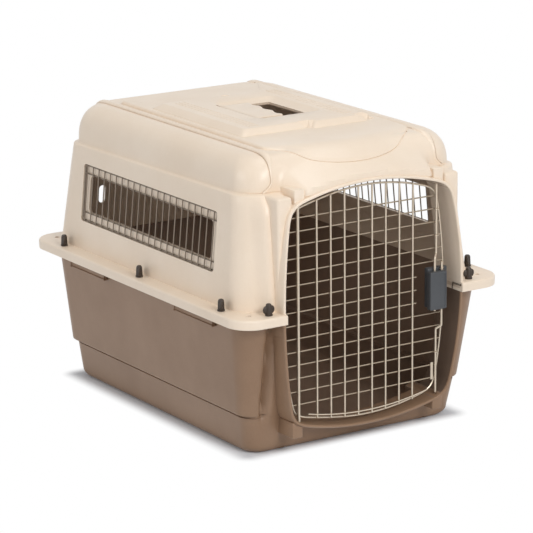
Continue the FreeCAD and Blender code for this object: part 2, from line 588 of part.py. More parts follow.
guides = []
for z, x in ((s.cross_first - 3 * s.cross_pitch, s.rod_line), (s.cross_first - s.cross_pitch, s.rod_line),
             (s.cross_first - 12 * s.cross_pitch, s.rod_line)):
    reach = s.latch_rod + 1.2
    loop = bent_rod([(x - reach, cross_plane - 0.6, z), (x - reach, latch_plane - s.latch_rod - 1.2, z),
                     (x + reach, latch_plane - s.latch_rod - 1.2, z), (x + reach, cross_plane - 0.6, z)],
                    0.9, 1.6)
    guides.append(loop)
shaped("rod_guides", Part.makeCompound(guides))
guard_low = s.cross_first - 14 * s.cross_pitch - 2.5
guard = box(s.rod_line - 8.5, cross_plane - s.cross_wire - 1.0, guard_low, s.rod_line - 3.6,
            cross_plane - s.cross_wire + 0.2, guard_low + s.cross_pitch + 7)
shaped("rod_guard_strip", guard)

# ------------------------------------------------------------------ carrying handle

PIVOT_X = "(sizes.well_left + sizes.handle_pivot_inset)"
ROOF_TOP = ("(sizes.ledge_level + sizes.ledge_rise + sizes.crown_rise"
            " + sizes.deck_height + sizes.platform_height)")
HANDLE_START = "(sizes.well_front + sizes.handle_end_gap)"
HANDLE_RUN = "(sizes.well_rear - sizes.well_front - 2 * sizes.handle_end_gap)"


def primitive(kind, name, **expressions):
    """One of Part's primitives, with its sizes and place bound to the sheet."""
    thing = doc.addObject(f"Part::{kind}", name)
    for key, expression in expressions.items():
        place = {"at_x": "Placement.Base.x", "at_y": "Placement.Base.y", "at_z": "Placement.Base.z"}.get(key, key)
        thing.setExpression(place, expression)
    return thing


plate = primitive("Box", "handle_plate_stock", Length="sizes.handle_reach", Width=HANDLE_RUN,
                  Height="sizes.handle_plate", at_x=PIVOT_X, at_y=HANDLE_START,
                  at_z=f"{ROOF_TOP} - sizes.handle_plate")
grip = primitive("Box", "handle_lip_stock", Length="sizes.handle_plate", Width=HANDLE_RUN,
                 Height="sizes.handle_lip + sizes.handle_plate",
                 at_x=f"{PIVOT_X} + sizes.handle_reach - sizes.handle_plate", at_y=HANDLE_START,
                 at_z=f"{ROOF_TOP} - sizes.handle_plate - sizes.handle_lip")
barrel = primitive("Cylinder", "handle_barrel_stock", Radius="sizes.handle_barrel", Height=HANDLE_RUN)
barrel.Placement = Placement(Vector(pivot_x, s.well_front + s.handle_end_gap, pivot_z),
                             Rotation(Vector(1, 0, 0), -90))
bore = primitive("Cylinder", "handle_bore_stock", Radius="sizes.handle_pin", Height=HANDLE_RUN)
bore.Placement = barrel.Placement
joined = doc.addObject("Part::MultiFuse", "handle_stock")
joined.Shapes = [plate, grip, barrel]
handle = doc.addObject("Part::Cut", "handle_bored")
handle.Base, handle.Tool = joined, bore
doc.recompute()
node("carrying_handle", handle)
end_low = s.well_front + s.handle_end_gap
end_high = s.well_rear - s.handle_end_gap

pins = []
for start, direction in ((end_low + 10, -1), (end_high - 10, 1)):
    pins.append(Part.makeCylinder(s.handle_pin, 10 + s.handle_end_gap + 5, Vector(pivot_x, start, pivot_z),
                                  Vector(0, direction, 0)))
shaped("handle_pins", Part.makeCompound(pins))

# ------------------------------------------------------------------ shell fasteners

bolt_low = lower_flange_top - s.flange_plate
bolts = []
nuts = []
for x, y in bolt_places:
    head = Part.makeCylinder(s.bolt_head, s.bolt_head_height, Vector(x, y, bolt_low - s.bolt_head_height))
    shank = Part.makeCylinder(s.bolt_shank, 2 * s.flange_plate + s.nut_height - 3, Vector(x, y, bolt_low))
    bolts.append(head.fuse(shank))
    barrel_solid = Part.makeCylinder(s.nut_radius, s.nut_height, Vector(x, y, s.flange_top))
    wings = box(x - s.wing_thick / 2, y - s.wing_span / 2, s.flange_top + s.nut_height - s.wing_height,
                x + s.wing_thick / 2, y + s.wing_span / 2, s.flange_top + s.nut_height)
    if abs(x) == s.bolt_front_x:
        wings.rotate(Vector(x, y, 0), Vector(0, 0, 1), 90)
    nut = barrel_solid.fuse(wings).cut(Part.makeCylinder(s.bolt_shank, s.nut_height - 3, Vector(x, y, s.flange_top)))
    nuts.append(nut)
shaped("shell_bolts", Part.makeCompound(bolts))
shaped("wing_nuts", Part.makeCompound(nuts))

# ------------------------------------------------------------------ checks and files

doc.recompute()
for thing in doc.Objects:
    if "Invalid" in thing.State or "Error" in thing.State:
        raise RuntimeError(f"{thing.Label} did not build: {thing.State}")
for thing in NODES:
    if thing.Shape.isNull() or not thing.Shape.isValid() or not thing.Shape.Solids:
        raise RuntimeError(f"{thing.Label} has no valid solid")
os.makedirs("parts", exist_ok=True)
for thing in NODES:
    thing.Shape.exportStep(f"parts/{thing.Label}.step")
    print(thing.Label, len(thing.Shape.Solids), round(thing.Shape.Volume))
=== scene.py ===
import json
import math

import bmesh
import bpy
import numpy as np
from mathutils import Matrix, Vector
from mathutils.bvhtree import BVHTree

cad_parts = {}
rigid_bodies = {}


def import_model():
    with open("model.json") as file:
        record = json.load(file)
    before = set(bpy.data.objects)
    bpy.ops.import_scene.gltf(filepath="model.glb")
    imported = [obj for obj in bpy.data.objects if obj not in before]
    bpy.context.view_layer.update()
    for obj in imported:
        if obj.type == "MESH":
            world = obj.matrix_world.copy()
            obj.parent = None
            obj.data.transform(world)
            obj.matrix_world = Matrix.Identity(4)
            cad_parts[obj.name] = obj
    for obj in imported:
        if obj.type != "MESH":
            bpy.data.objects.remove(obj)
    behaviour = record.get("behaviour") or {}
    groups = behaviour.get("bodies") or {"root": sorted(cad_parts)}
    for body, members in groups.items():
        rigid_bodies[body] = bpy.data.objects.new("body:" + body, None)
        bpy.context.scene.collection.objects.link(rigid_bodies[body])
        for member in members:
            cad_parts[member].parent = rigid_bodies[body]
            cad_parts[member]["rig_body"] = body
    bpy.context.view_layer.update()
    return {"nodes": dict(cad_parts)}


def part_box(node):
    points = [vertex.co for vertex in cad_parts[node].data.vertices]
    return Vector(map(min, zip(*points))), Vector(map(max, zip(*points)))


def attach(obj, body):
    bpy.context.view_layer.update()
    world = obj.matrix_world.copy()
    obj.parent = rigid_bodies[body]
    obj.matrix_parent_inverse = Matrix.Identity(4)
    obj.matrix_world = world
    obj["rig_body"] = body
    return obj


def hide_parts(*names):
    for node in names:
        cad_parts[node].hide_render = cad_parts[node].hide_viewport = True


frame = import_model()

# ---------------------------------------------------------------- camera, floor and light
# The carrier stands alone on a seamless white floor under large soft lamps, seen from its front
# left corner and from a little above.
camera = bpy.data.objects.new("camera", bpy.data.cameras.new("camera"))
bpy.context.scene.collection.objects.link(camera)
bpy.context.scene.camera = camera
camera_place = Vector((-2.5599, -3.9674, 1.4732))
camera_turn, camera_dip, camera_roll = (math.radians(a) for a in (32.91, 14.775, -0.524))
looking = Vector((math.sin(camera_turn) * math.cos(camera_dip),
                  math.cos(camera_turn) * math.cos(camera_dip),
                  -math.sin(camera_dip)))
level_right = Vector((math.cos(camera_turn), -math.sin(camera_turn), 0))
level_up = level_right.cross(looking)
right = level_right * math.cos(camera_roll) + level_up * math.sin(camera_roll)
up = level_up * math.cos(camera_roll) - level_right * math.sin(camera_roll)
camera.matrix_world = Matrix.Translation(camera_place) @ Matrix((right, up, -looking)).transposed().to_4x4()
camera.data.lens = 193.97
camera.data.sensor_width = 36.0
camera.data.clip_end = 50.0
bpy.context.scene.view_settings.view_transform = "Standard"


class Value:
    """An output of a material's node that can stand in a sum or product."""

    def __init__(self, finish, socket):
        self.finish, self.socket = finish, socket

    def math(self, operation, first, second):
        """A Math node on two values or numbers."""
        return self.finish.add("Math", {0: first, 1: second}, operation=operation)

    def __add__(self, other):
        return self.math("ADD", self, other)

    def __mul__(self, other):
        return self.math("MULTIPLY", self, other)

    __radd__, __rmul__ = __add__, __mul__


class Finish:
    """The nodes of one material, or of the sky, built one by one."""

    def __init__(self, owner):
        self.owner = owner
        owner.use_nodes = True
        self.tree = owner.node_tree
        self.tree.nodes.clear()

    def add(self, kind, sockets=None, output=0, stops=None, **settings):
        """A node of this kind: its settings first, then the values or links of its sockets."""
        node = self.tree.nodes.new("ShaderNode" + kind)
        for key, value in settings.items():
            setattr(node, key, value)
        if stops:
            for element, (place, level) in zip(node.color_ramp.elements, stops):
                element.position = place
                element.color = (level, level, level, 1)
        for key, value in (sockets or {}).items():
            if isinstance(value, Value):
                self.tree.links.new(value.socket, node.inputs[key])
            else:
                node.inputs[key].default_value = value
        return Value(self, node.outputs[output]) if node.outputs else None

    def blend(self, share, first, second):
        """Colour between two others."""
        return self.add("Mix", {0: share, 6: first, 7: second}, output=2, data_type="RGBA")

    def shown(self):
        """1 for rays that look at the background, straight or by a reflection, 0 for its light."""
        return sum(self.add("LightPath", output=ray)
                   for ray in ("Is Camera Ray", "Is Glossy Ray", "Is Transmission Ray"))

    def done(self, surface, kind="OutputMaterial"):
        """Links the surface to the output, and hands back the material or the sky."""
        self.add(kind, {"Surface": surface})
        return self.owner


floor_finish = Finish(bpy.data.materials.new("white_floor"))
paper = floor_finish.add("BsdfDiffuse", {"Color": (0.87, 0.90, 0.95, 1)})
glow = floor_finish.add("Emission", {"Color": (1, 1, 1, 1), "Strength": 1.0})
# Painted white: away from the tub's footprint the floor glows plain white to the camera and in reflections,
# which cuts the cast shadow off; only within shadow_reach does its blue-tinted paper show, with the real
# shadow.
tub_middle, tub_half, shadow_reach = (0, 0.013, 0), (0.2, 0.275, 0), 0.035
spot = floor_finish.add("TexCoord", output="Object")
spot = floor_finish.add("VectorMath", {0: spot, 1: tub_middle}, operation="SUBTRACT")
spot = floor_finish.add("VectorMath", {0: spot}, operation="ABSOLUTE")
spot = floor_finish.add("VectorMath", {0: spot, 1: tub_half}, operation="SUBTRACT")
spot = floor_finish.add("VectorMath", {0: spot, 1: (0, 0, 0)}, operation="MAXIMUM")
away = floor_finish.add("VectorMath", {0: spot}, output=1, operation="LENGTH")
clear = floor_finish.add("MapRange", {"Value": away, "From Min": 0.0, "From Max": shadow_reach,
                                      "To Min": 0.0, "To Max": 1.0}, interpolation_type="SMOOTHSTEP")
ground = floor_finish.add("MixShader", {0: floor_finish.shown() * clear, 1: paper, 2: glow})
floor_half = 30
floor_mesh = bpy.data.meshes.new("floor")
floor_mesh.from_pydata([(-floor_half, -floor_half, 0), (floor_half, -floor_half, 0),
                        (floor_half, floor_half, 0), (-floor_half, floor_half, 0)], [], [(0, 1, 2, 3)])
floor_mesh.materials.append(floor_finish.done(ground))
floor = bpy.data.objects.new("floor", floor_mesh)
bpy.context.scene.collection.objects.link(floor)

sky = Finish(bpy.data.worlds.new("studio"))
dim = sky.add("Background", {"Color": (1, 1, 1, 1), "Strength": 0.36})
white = sky.add("Background", {"Color": (1, 1, 1, 1), "Strength": 1.0})
bpy.context.scene.world = sky.done(sky.add("MixShader", {0: sky.shown(), 1: dim, 2: white}), "OutputWorld")

lit_middle = Vector((0, 0, 0.25))
for name, place, size, power in (("front_lamp", (-0.3, -3.3, 1.9), 1.2, 54.0),
                                 ("top_lamp", (0.3, -0.2, 3.0), 1.6, 19.0),
                                 ("left_lamp", (-3.2, 0.2, 1.5), 1.6, 20.0)):
    lamp = bpy.data.objects.new(name, bpy.data.lights.new(name, "AREA"))
    lamp.data.size, lamp.data.energy = size, power
    lamp.location = place
    lamp.rotation_mode = "QUATERNION"
    lamp.rotation_quaternion = (Vector(place) - lit_middle).to_track_quat("Z", "Y")
    bpy.context.scene.collection.objects.link(lamp)

# ---------------------------------------------------------------- upper shell
# The cream half is one injection moulding: a tapered wall over a wide flange, a ledge, a rounded
# crown with a raised deck, and the collar of the doorway standing out in front.
mm = 0.001
shell_low, shell_high = (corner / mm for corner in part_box("upper_shell"))
flange_half, flange_front, flange_rear = shell_high.x, -shell_low.y, shell_high.y
roof_top, skirt_foot = shell_high.z, shell_low.z
skirt_deep, plate_thick, corner = 15.5, 3.2, 46.0
flange_top = skirt_foot + skirt_deep
plate_under = flange_top - plate_thick
wall = 2.6
cover_half, cover_front, cover_rear = flange_half - 28.5, flange_front - 40, flange_rear - 27
ledge_half, ledge_front, ledge_rear = cover_half - 17.5, cover_front - 16, cover_rear - 21
platform_height, deck_height = 9.5, 5.5
crown_top = roof_top - platform_height - deck_height
ledge_inset, ledge_rise, crown_rise, pull_in = 7.0, 4.0, 61.0, 45.0
ledge_level = crown_top - (crown_rise + ledge_rise)
crown_round, end_share = 0.8, 0.75
cells_across, cells_along = 106, 162


def smooth(value, start, end):
    """Eased step from 0 at start to 1 at end."""
    t = np.clip((np.asarray(value, float) - start) / (end - start), 0, 1)
    return t * t * (3 - 2 * t)


def rim_places(across, along):
    """Places round the edge of a sheet of cells, anticlockwise from its front left."""
    return ([(i, 0) for i in range(across)] + [(across, j) for j in range(along)]
            + [(i, along) for i in range(across, 0, -1)] + [(0, j) for j in range(along, 0, -1)])


def plan_ring(half, front, rear, radius, level, across=cells_across, along=cells_along):
    """Rounded rectangle seen from above, with one point for each place on the rim of the sheet."""
    places = np.array(rim_places(across, along), float)
    middle, length = (rear - front) / 2, (rear + front) / 2
    x = (places[:, 0] / across * 2 - 1) * half
    y = (places[:, 1] / along * 2 - 1) * length
    near_x, near_y = np.clip(x, radius - half, half - radius), np.clip(y, radius - length, length - radius)
    away = np.stack([x - near_x, y - near_y], 1)
    away *= radius / np.maximum(np.linalg.norm(away, axis=1, keepdims=True), 1e-9)
    return np.column_stack([near_x + away[:, 0], near_y + away[:, 1] + middle,
                            np.full(len(x), float(level))])


def make_piece(name, points, faces):
    """Object from millimetre points, with its faces turned outwards."""
    mesh = bpy.data.meshes.new(name)
    mesh.from_pydata((np.asarray(points, float) * mm).tolist(), [], faces)
    work = bmesh.new()
    work.from_mesh(mesh)
    bmesh.ops.recalc_face_normals(work, faces=work.faces)
    work.to_mesh(mesh)
    work.free()
    piece = bpy.data.objects.new(name, mesh)
    bpy.context.scene.collection.objects.link(piece)
    return piece


def skin_faces(count, rings, looped=False):
    """Quads between rings of equal count."""
    steps = rings if looped else rings - 1
    return [(r * count + c, r * count + (c + 1) % count, (r + 1) % rings * count + (c + 1) % count,
             (r + 1) % rings * count + c) for r in range(steps) for c in range(count)]


def stack(name, rings, looped=False):
    """Closed solid through rings: looped joins the last to the first, otherwise both ends are capped."""
    count = len(rings[0])
    faces = skin_faces(count, len(rings), looped)
    if not looped:
        faces += [tuple(range(count)), tuple(range(count * (len(rings) - 1), count * len(rings)))]
    return make_piece(name, np.vstack(rings), faces)


def domed(name, rings, across, along, reshape=None):
    """Closed solid through plan rings whose top is a sheet of cells."""
    count, points, top = len(rings[0]), np.vstack(rings), rings[-1]
    middle = np.array([0.0, (top[:, 1].min() + top[:, 1].max()) / 2, top[0, 2]])
    half, length = top[:, 0].max(), (top[:, 1].max() - top[:, 1].min()) / 2
    radius = min(corner, half)
    index = {place: count * (len(rings) - 1) + i for i, place in enumerate(rim_places(across, along))}
    inner = []
    for i in range(1, across):
        for j in range(1, along):
            a, b = i / across * 2 - 1, j / along * 2 - 1
            reach = max(abs(a), abs(b), 1e-9)
            x, y = a / reach * half, b / reach * length
            near_x = min(max(x, radius - half), half - radius)
            near_y = min(max(y, radius - length), length - radius)
            gap = math.hypot(x - near_x, y - near_y) or 1.0
            edge = np.array([near_x + (x - near_x) * radius / gap,
                             near_y + (y - near_y) * radius / gap, 0.0])
            index[i, j] = len(points) + len(inner)
            inner.append(middle + edge * reach)
    points = np.vstack([points, inner])
    if reshape:
        points = reshape(points)
    faces = skin_faces(count, len(rings)) + [tuple(range(count))]
    faces += [(index[i, j], index[i + 1, j], index[i + 1, j + 1], index[i, j + 1])
              for i in range(across) for j in range(along)]
    return make_piece(name, points, faces)


def combine(base, operation, tools):
    """Joins closed solids to the base, or cuts them out of it, and uses them up."""
    for tool in tools:
        step = base.modifiers.new(tool.name, "BOOLEAN")
        step.operation, step.solver, step.object = operation, "MANIFOLD", tool
    bpy.context.view_layer.update()
    result = bpy.data.meshes.new_from_object(base.evaluated_get(bpy.context.evaluated_depsgraph_get()))
    base.modifiers.clear()
    base.data = result
    for tool in tools:
        bpy.data.objects.remove(tool)
    return base


def block(name, low, high, radius, along=None, steps=3):
    """Box between two corners with rounded edges: all of them, or those along one axis."""
    work = bmesh.new()
    bmesh.ops.create_cube(work, size=1.0)
    low, high = Vector(low), Vector(high)
    for v in work.verts:
        v.co = Vector([low[i] if v.co[i] < 0 else high[i] for i in range(3)])
    edges = [e for e in work.edges
             if along is None or abs((e.verts[0].co - e.verts[1].co).normalized()[along]) > 0.9]
    bmesh.ops.bevel(work, geom=edges, offset=radius, segments=steps, profile=0.5, affect="EDGES")
    work.verts.index_update()
    points, faces = [v.co[:] for v in work.verts], [[v.index for v in f.verts] for f in work.faces]
    work.free()
    return make_piece(name, points, faces)


def crown_at(swing):
    """Half width, front, rear and level of the crown at an angle of its quarter round."""
    pull = ledge_inset + pull_in * (1 - max(math.cos(swing), 0.0) ** crown_round)
    rise = crown_rise * math.sin(swing) ** crown_round
    return (ledge_half - pull, ledge_front - pull * end_share, ledge_rear - pull * end_share,
            ledge_level + ledge_rise + rise)


# doorway, seen from the front as four arcs whose corners are rounded
door_top, door_foot, door_side = 438.0, 38.0, 171.0
head_corner, head_level, foot_corner, foot_level = 153.5, 412.0, 149.0, 61.0
lip_reach, lip_bow, lip_middle, lip_wide = 333.0, 1670.0, 245.0, 8.0
arch_drop = (door_top - head_level) / head_corner ** 2
hood_slope, hood_start, hood_reach, hood_blend, beside_swell = 1.42, 322.0, 318.0, 8.0, 13.0


def lip_at(level):
    """How far the collar's front stands from the middle of the carrier, at a level."""
    return lip_reach - (np.asarray(level, float) - lip_middle) ** 2 / (2 * lip_bow)


def hooded(points):
    """Draws the front of the crown forwards and down to the top of the collar."""
    x, y, z = points.T
    lip = door_top + lip_wide - arch_drop * x ** 2
    fronts = np.interp(z, [level[4] for level in cover_levels], [level[1] for level in cover_levels])
    spare = np.minimum(hood_reach, hood_start - hood_slope * (z - lip)) - fronts
    stand = (spare + np.sqrt(spare ** 2 + hood_blend ** 2)) / 2
    above_door = (1 - smooth(abs(x), 118, 150)) * smooth(z, 404, 424) * smooth(-y, 140, 238)
    beside_door = (1 - smooth(abs(x), 182, 200)) * smooth(-y, 240, 270) * (1 - smooth(z, 405, 422))
    moved = points.copy()
    moved[:, 1] -= stand * above_door + beside_swell * beside_door
    return tilted(moved)


def tilted(points):
    """Lifts the ledge a little towards the front of the carrier."""
    moved = np.array(points, float)
    near = np.exp(-((moved[:, 2] - ledge_level) / 30.0) ** 2)
    moved[:, 2] += near * (1.5 - moved[:, 1] / 300 * 4.5)
    return moved


wall_steps, crown_steps = 12, 18
cover_levels = []
for step in range(wall_steps + 1):
    t = step / wall_steps
    cover_levels.append((cover_half + (ledge_half - cover_half) * t,
                         cover_front + (ledge_front - cover_front) * t,
                         cover_rear + (ledge_rear - cover_rear) * t, corner,
                         plate_under + (ledge_level - 1.2 - plate_under) * t))
for inset, rise in ((0.5, -0.2), (1.6, 0.5), (5.6, 2.0), (6.6, 3.0)):
    cover_levels.append((ledge_half - inset, ledge_front - inset, ledge_rear - inset, corner,
                         ledge_level + rise))
for step in range(crown_steps + 1):
    half, front, rear, level = crown_at(math.pi / 2 * step / crown_steps)
    cover_levels.append((half, front, rear, corner, level))
cover_rings = [plan_ring(*level) for level in cover_levels]
upper = domed("upper_shell_moulding", cover_rings, cells_across, cells_along, hooded)


def slab(name, outline, profile, height_at, floor_level, fill=16):
    """Raised plate over an outline: profile gives inset and drop from its foot to its top edge."""
    outline = np.asarray(outline, float)
    ahead, behind = np.roll(outline, -1, 0), np.roll(outline, 1, 0)
    along = ahead - behind
    inward = np.stack([-along[:, 1], along[:, 0]], 1) / np.linalg.norm(along, axis=1, keepdims=True)
    rings = [np.column_stack([outline, np.full(len(outline), floor_level)])]
    for inset, drop in profile:
        place = outline + inward * inset
        rings.append(np.column_stack([place, height_at(place[:, 0], place[:, 1]) - drop]))
    edge = rings[-1][:, :2]
    centre = edge.mean(0)
    for step in range(1, fill):
        place = centre + (edge - centre) * (1 - step / fill)
        rings.append(np.column_stack([place, height_at(place[:, 0], place[:, 1])]))
    return stack(name, rings)


def curve_points(corners, radius, spacing=3.0):
    """Polygon with every corner eased over a radius, as evenly spaced points."""
    corners = np.asarray(corners, float)
    following = np.roll(corners, -1, 0)
    points = []
    for start, end in zip(corners, following):
        count = max(1, round(float(np.linalg.norm(end - start)) / spacing))
        points += [start + (end - start) * i / count for i in range(count)]
    points = np.array(points)
    reach = max(1, round(radius / spacing))
    for _ in range(2):
        points = sum(np.roll(points, k, 0) for k in range(-reach, reach + 1)) / (2 * reach + 1)
    return points


# deck: a low plate over the crown whose front edge is a lobe that follows the hood down
deck_half, deck_rear, deck_side_front = 143.0, 228.0, 226.0
lobe_half, lobe_side, lobe_front = 123.0, 244.0, 294.0
lobe_radius = (lobe_half ** 2 + (lobe_front - lobe_side) ** 2) / (2 * (lobe_front - lobe_side))


def deck_height_at(x, y):
    """Level of the deck, which is flat and then follows the hood down."""
    lip = door_top + lip_wide - arch_drop * x ** 2
    ramp = lip + (hood_start + y) / hood_slope + 3.6
    top = crown_top + deck_height
    return top - (np.sqrt((top - ramp) ** 2 + 5.0 ** 2) + (top - ramp)) / 2 + 0.05


lobe = [(x, -(lobe_front - lobe_radius + math.sqrt(lobe_radius ** 2 - x ** 2)))
        for x in np.linspace(-lobe_half, lobe_half, 30)]
deck_outline = curve_points([(-deck_half, deck_rear), (-deck_half, -deck_side_front), *lobe,
                             (deck_half, -deck_side_front), (deck_half, deck_rear)], 7.0)
deck_edge = [(0, 6.6), (0.7, 4.2), (1.6, 2.2), (2.6, 1.0), (4.0, 0.25), (5.6, 0.0), (7.0, 0.0)]
deck = slab("deck", deck_outline, deck_edge, deck_height_at, ledge_level + 6, 24)

# platform: a plate with sloping sides round the carrying handle, and a pad standing out before it
platform_half, platform_front, platform_rear, platform_slope = 132.0, 146.0, 140.0, 15.0
slope_profile = [(0.0, platform_height + 1), (0.6, platform_height - 0.4), (2.0, platform_height - 1.6),
                 (platform_slope - 2.6, 1.3), (platform_slope - 1.2, 0.5), (platform_slope + 0.6, 0.1),
                 (platform_slope + 2.4, 0.0)]


def plateau(name, left, right, front, rear, radius, sunk):
    """Plate with sloping sides and an eased top edge."""
    rings = []
    for inset, drop in slope_profile:
        ring = plan_ring((right - left) / 2 - inset, front - inset, rear - inset, radius,
                         roof_top - drop - sunk, 50, 50)
        ring[:, 0] += (left + right) / 2
        rings.append(ring)
    return stack(name, rings)


platform = plateau("platform", -platform_half, platform_half, platform_front, platform_rear, 5.0, 0.0)
pad = plateau("platform_pad", 2, 110, platform_front + 9, -100, 3.0, 0.4)

# flange: a plate with a turned-down skirt all round
flange_section = [(0.0, skirt_foot), (-0.25, flange_top - 3.4), (0.5, flange_top - 1.5),
                  (1.8, flange_top - 0.4), (3.8, flange_top)]
flange_radius = 42.0


def flange_ring(inset, level):
    """Outline of the flange, moved inwards."""
    return plan_ring(flange_half - inset, flange_front - inset, flange_rear - inset,
                     flange_radius - inset, level)


flange_rings = [flange_ring(inset, level) for inset, level in flange_section]
flange_rings += [plan_ring(cover_half - 2, cover_front - 2, cover_rear - 2, corner - 2, z)
                 for z in (flange_top, plate_under)]
flange_rings += [flange_ring(inset, level) for inset, level in ((4.4, plate_under), (3.4, plate_under - 1),
                                                                (3.4, skirt_foot), (2.2, skirt_foot))]
flange = stack("flange", flange_rings, looped=True)


def side_at(level):
    """Half the doorway's width at a level."""
    t = (level - (head_level + foot_level) / 2) / ((head_level - foot_level) / 2)
    chord = foot_corner + (head_corner - foot_corner) * (t + 1) / 2
    return chord + (door_side - (foot_corner + head_corner) / 2) * (1 - t * t)


def arch_ring(grow, depth):
    """Outline of the doorway, grown outwards, at a depth behind the collar's front."""
    points = []
    foot_drop = (foot_level - door_foot) / foot_corner ** 2
    for x in np.linspace(-foot_corner, foot_corner, 101):
        points.append((x, door_foot + foot_drop * x * x))
    for z in np.linspace(foot_level, head_level, 119)[1:]:
        points.append((side_at(z), z))
    for x in np.linspace(head_corner, -head_corner, 103)[1:]:
        points.append((x, door_top - arch_drop * x * x))
    for z in np.linspace(head_level, foot_level, 119)[1:-1]:
        points.append((-side_at(z), z))
    points, reach = np.array(points), 5
    for _ in range(2):
        points = sum(np.roll(points, k, 0) for k in range(-reach, reach + 1)) / (2 * reach + 1)
    along = np.roll(points, -1, 0) - np.roll(points, 1, 0)
    outward = np.stack([along[:, 1], -along[:, 0]], 1)
    outward /= np.linalg.norm(along, axis=1, keepdims=True)
    grown = points + outward * grow
    return np.column_stack([grown[:, 0], depth - lip_at(points[:, 1]), grown[:, 1]])


lip_section = [(0.0, 62.0), (0.0, 30.0), (0.0, 3.0), (0.4, 1.3), (1.3, 0.3), (2.6, 0.0), (3.9, 0.4),
               (4.8, 1.6), (5.2, 3.6), (6.0, 30.0), (7.0, 62.0)]
collar_split, collar_stand, far = 231.5, -318, 900.0
shoulder_near, shoulder_far, shoulder_back, shoulder_top = 148, 176, -262, 431
socket_half, socket_back, latch_side = 9.5, -240, 135


def collar_half(name, low, high):
    """The part of the doorway's collar between two levels."""
    ring = stack(name, [arch_ring(grow, depth) for grow, depth in lip_section], looped=True)
    return combine(ring, "INTERSECT", [block(name + "_span", (-far, -far, low), (far, 0, high), 0.01)])


def doorway_core(name):
    """What the doorway takes out of the shells."""
    return stack(name, [arch_ring(0.02, depth) for depth in (-60.0, 90.0)])


def posts():
    """The square shoulders of the collar, between its arch and the sockets above."""
    shoulders = []
    for side in (-1, 1):
        left, right = sorted((side * shoulder_near, side * shoulder_far))
        shoulders.append(block(f"post_{side}", (left, collar_stand, flange_top - 8),
                               (right, shoulder_back, shoulder_top), 5.0))
    return shoulders


def sockets(name, hinge_side, low, high):
    """The two blocks beside the doorway that hold the ends of the hinge and latch rods."""
    return [block(f"{name}_{side}", (side * middle - socket_half, collar_stand, low),
                  (side * middle + socket_half, socket_back, high), 1.6)
            for side, middle in ((-1, hinge_side), (1, latch_side))]


def circle(x, y, radius, level):
    """Level ring of 32 points."""
    turn = np.linspace(0, 2 * math.pi, 32, endpoint=False)
    return np.column_stack([x + radius * np.cos(turn), y + radius * np.sin(turn), np.full(32, level)])


def rod_bores(name, latch_rod, low, high):
    """Blind holes in the sockets, a little wider than the rods that turn and slide in them."""
    hinge_low, hinge_high = (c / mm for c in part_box("hinge_rod"))
    latch_low, latch_high = (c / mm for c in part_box(latch_rod))
    rod_half, hinge_bore, latch_bore = 2, 2.9, 2.6
    latch_x = latch_high.x - rod_half if latch_rod == "upper_latch_rod" else latch_low.x + rod_half
    places = [((hinge_low.x + hinge_high.x) / 2, (hinge_low.y + hinge_high.y) / 2, hinge_bore),
              (latch_x, latch_high.y - rod_half, latch_bore)]
    return [stack(f"{name}_{radius}", [circle(x, y, radius, level) for level in (low, high)])
            for x, y, radius in places]


inner_levels = [(h - wall, f - wall, b - wall, corner - wall, z - (wall if i > 3 else 0))
                for i, (h, f, b, r, z) in enumerate(cover_levels)]
inner_levels[0] = (*inner_levels[0][:4], collar_split - 5)
inner_levels = inner_levels[::3] + inner_levels[-1:]
hollow = stack("cover_hollow", [tilted(plan_ring(*level, 52, 80)) for level in inner_levels])
upper = combine(upper, "UNION", [deck, platform, pad, flange])
upper = combine(upper, "DIFFERENCE", [hollow])
upper = combine(upper, "UNION", [collar_half("upper_collar", collar_split, far)] + posts()
                + sockets("upper_socket", latch_side, 412, 441))

# windows: a rebate in each side wall for the wire grille, on a backing thicker than the wall
window_rear, window_front, window_low, window_high, sill = 226.0, 203.0, 296.0, 395.0, 17.0
lean = math.atan((cover_half - ledge_half) / (ledge_level - plate_under))


def on_wall(piece, side):
    """Moves a piece drawn outwards from the wall's foot onto the leaning side wall."""
    place = Matrix.Translation((cover_half * mm, 0, plate_under * mm)) @ Matrix.Rotation(-lean, 4, "Y")
    if side < 0:
        place = Matrix.Scale(-1, 4, (1, 0, 0)) @ place
    piece.data.transform(place)
    if side < 0:
        piece.data.flip_normals()
    return piece


low, high = window_low - plate_under, window_high - plate_under
for side in (-1, 1):
    backing = block("window_backing", (-10, -window_front - 5, low - 5),
                    (-0.6, window_rear + 5, high + 5), 3.0)
    rebate = block("window_rebate", (-5, -window_front, low), (20, window_rear, high), 7.0, 0, 5)
    gap = block("window_gap", (-40, -window_front + sill, low + sill),
                (20, window_rear - sill, high - sill), 9.0, 0, 5)
    upper = combine(upper, "UNION", [on_wall(backing, side)])
    upper = combine(upper, "DIFFERENCE", [on_wall(rebate, side), on_wall(gap, side)])

# holes of the flange, for cable ties
tie_side, tie_front, tie_rear, tie_radius = 224, -305.0, 314.0, 4.7


def tie_holes(name):
    """Round holes through a flange, one near each corner."""
    return [stack(f"{name}_tie_hole_{side}_{y:.0f}", [circle(side * tie_side, y, tie_radius, level)
                                                      for level in (plate_under - 12, flange_top + 6)])
            for side in (-1, 1) for y in (tie_front, tie_rear)]


# handle well: an opening in a shallow basin, through a plate over the hollow platform, with a lug
# at each end for a pin, and rear vents as upright slots
well_left, well_right, well_front, well_rear, roof_plate = -54.0, 54.0, -71.0, 60.0, 2.8
lug_long, lug_right = 13, -33
lugs = [block(f"pin_lug_{start}", (well_left - 4, start, roof_top - 15),
              (lug_right, start + lug_long, roof_top - 3), 1.5)
        for start in (well_front - lug_long, well_rear)]
platform_hollow = block("platform_hollow", (-110, -122, crown_top - 12),
                        (110, 116, roof_top - roof_plate), 3.0)
basin_floor = block("basin_floor", (-80, -92, roof_top - 11), (80, 82, roof_top - 1.5), 1.0)
upper = combine(upper, "DIFFERENCE", [platform_hollow])
upper = combine(upper, "UNION", [basin_floor])


